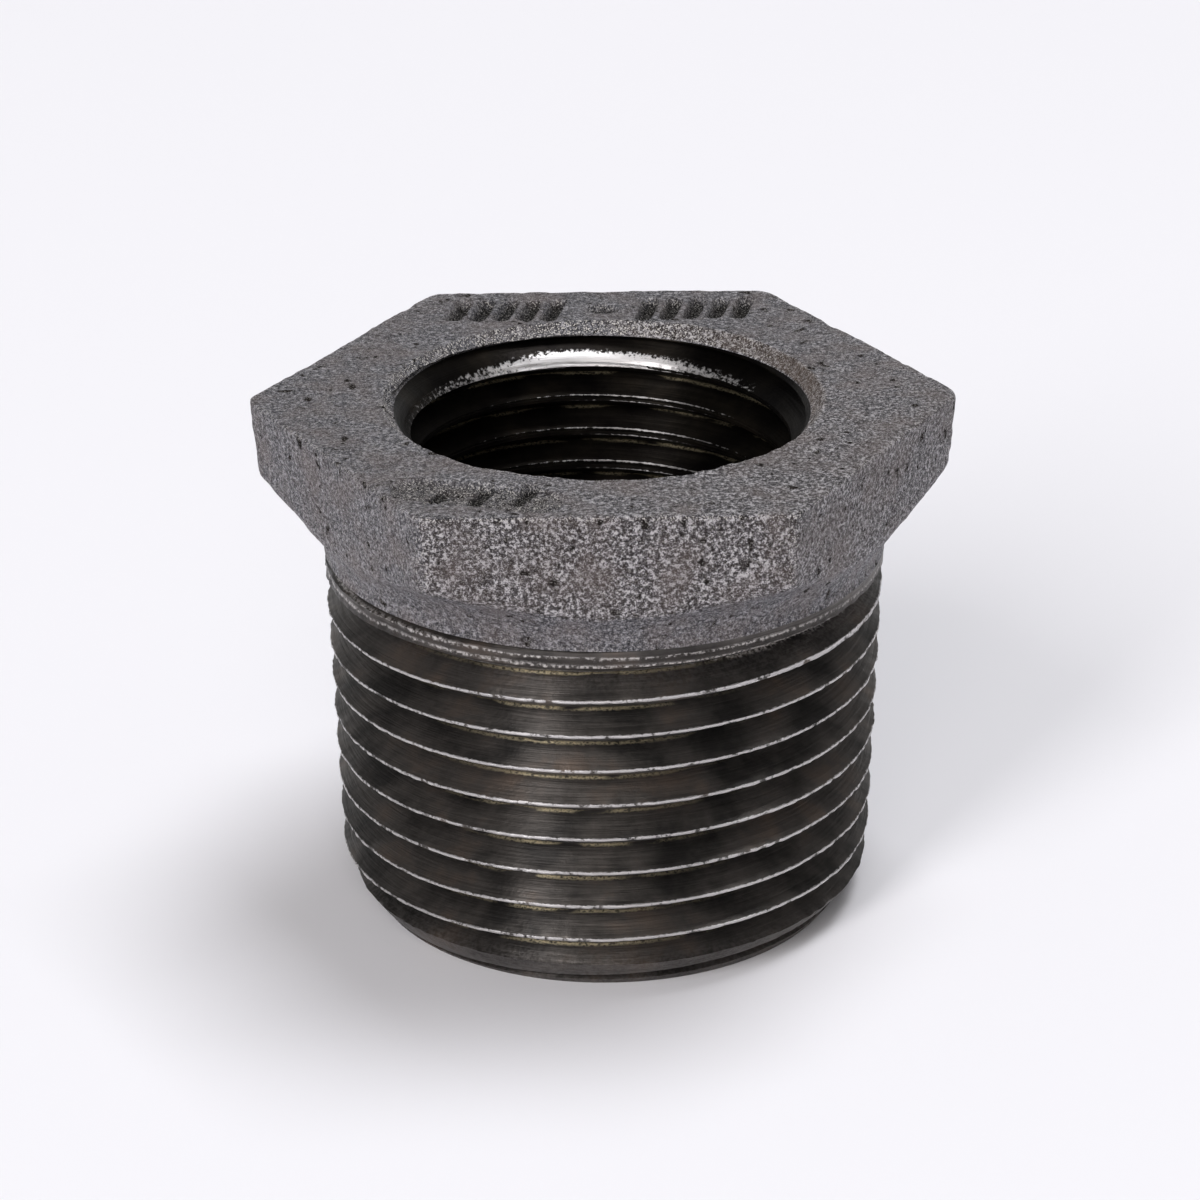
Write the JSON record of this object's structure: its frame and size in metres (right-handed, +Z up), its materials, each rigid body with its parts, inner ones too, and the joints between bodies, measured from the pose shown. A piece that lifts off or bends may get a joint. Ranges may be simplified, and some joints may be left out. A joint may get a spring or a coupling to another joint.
{
  "type": "hex bushing",
  "caption": "Reducing hex bushing in black malleable iron: hexagonal head with a tapped bore, over a short male taper pipe thread.",
  "frame": {"origin": "on the thread's axis, in the plane of the small end that the bushing stands on", "axes": "+Z up the axis to the hexagon's top face; two corners of the hexagon over the X axis, two flats across the Y axis"},
  "size_m": [0.0342, 0.0298, 0.0258],
  "materials": {
    "black_iron": "matte"
  },
  "bodies": {
    "root": {"hex_bushing": "black_iron"}
  },
  "joints": []
}
